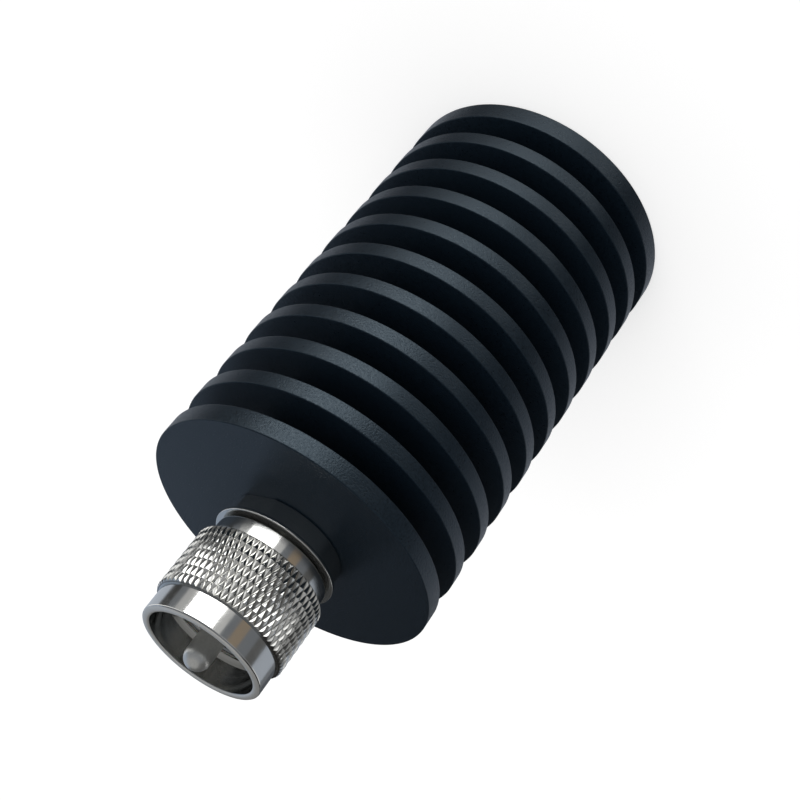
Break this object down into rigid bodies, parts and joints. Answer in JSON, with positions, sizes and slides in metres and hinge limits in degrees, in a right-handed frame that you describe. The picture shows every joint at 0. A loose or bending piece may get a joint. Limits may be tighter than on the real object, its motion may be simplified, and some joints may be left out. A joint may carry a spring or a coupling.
{
  "type": "coaxial dummy load",
  "caption": "Round finned radio-frequency dummy load on its flat rear face, with a screw-in coaxial plug whose knurled coupling nut turns freely round the centre pin.",
  "frame": {"origin": "centre of the rear plate's flat face, on the axis, where the load stands", "axes": "+Z along the axis from the rear plate to the plug; +X square to one of the collar's two spanner flats"},
  "size_m": [0.046, 0.046, 0.0982],
  "materials": {
    "black_anodised": "turned, satin black anodised",
    "nickel_plate": "bright nickel over brass",
    "silver_plate": "satin silver plate",
    "ptfe": "white fluoropolymer",
    "copper": "bare copper alloy",
    "ceramic": "fired ceramic",
    "film": "printed film",
    "steel": "plain"
  },
  "bodies": {
    "load": {"heatsink": "black_anodised", "mounting_collar": "nickel_plate", "connector_shell": "nickel_plate", "front_insulator": "ptfe", "rear_insulator": "ptfe", "centre_pin": "silver_plate", "resistor_flange": "copper", "resistor_substrate": "ceramic", "resistor_film": "film", "resistor_cap": "ceramic", "resistor_lead": "silver_plate", "flange_screws": "steel", "spring_washers": "steel"},
    "nut": {"coupling_nut": "nickel_plate"}
  },
  "joints": [
    {"name": "nut_spin", "type": "hinge", "parent": "load", "child": "nut", "pos_m": [0, 0, 0.0789], "axis": [0, 0, 1], "continuous": true}
  ]
}
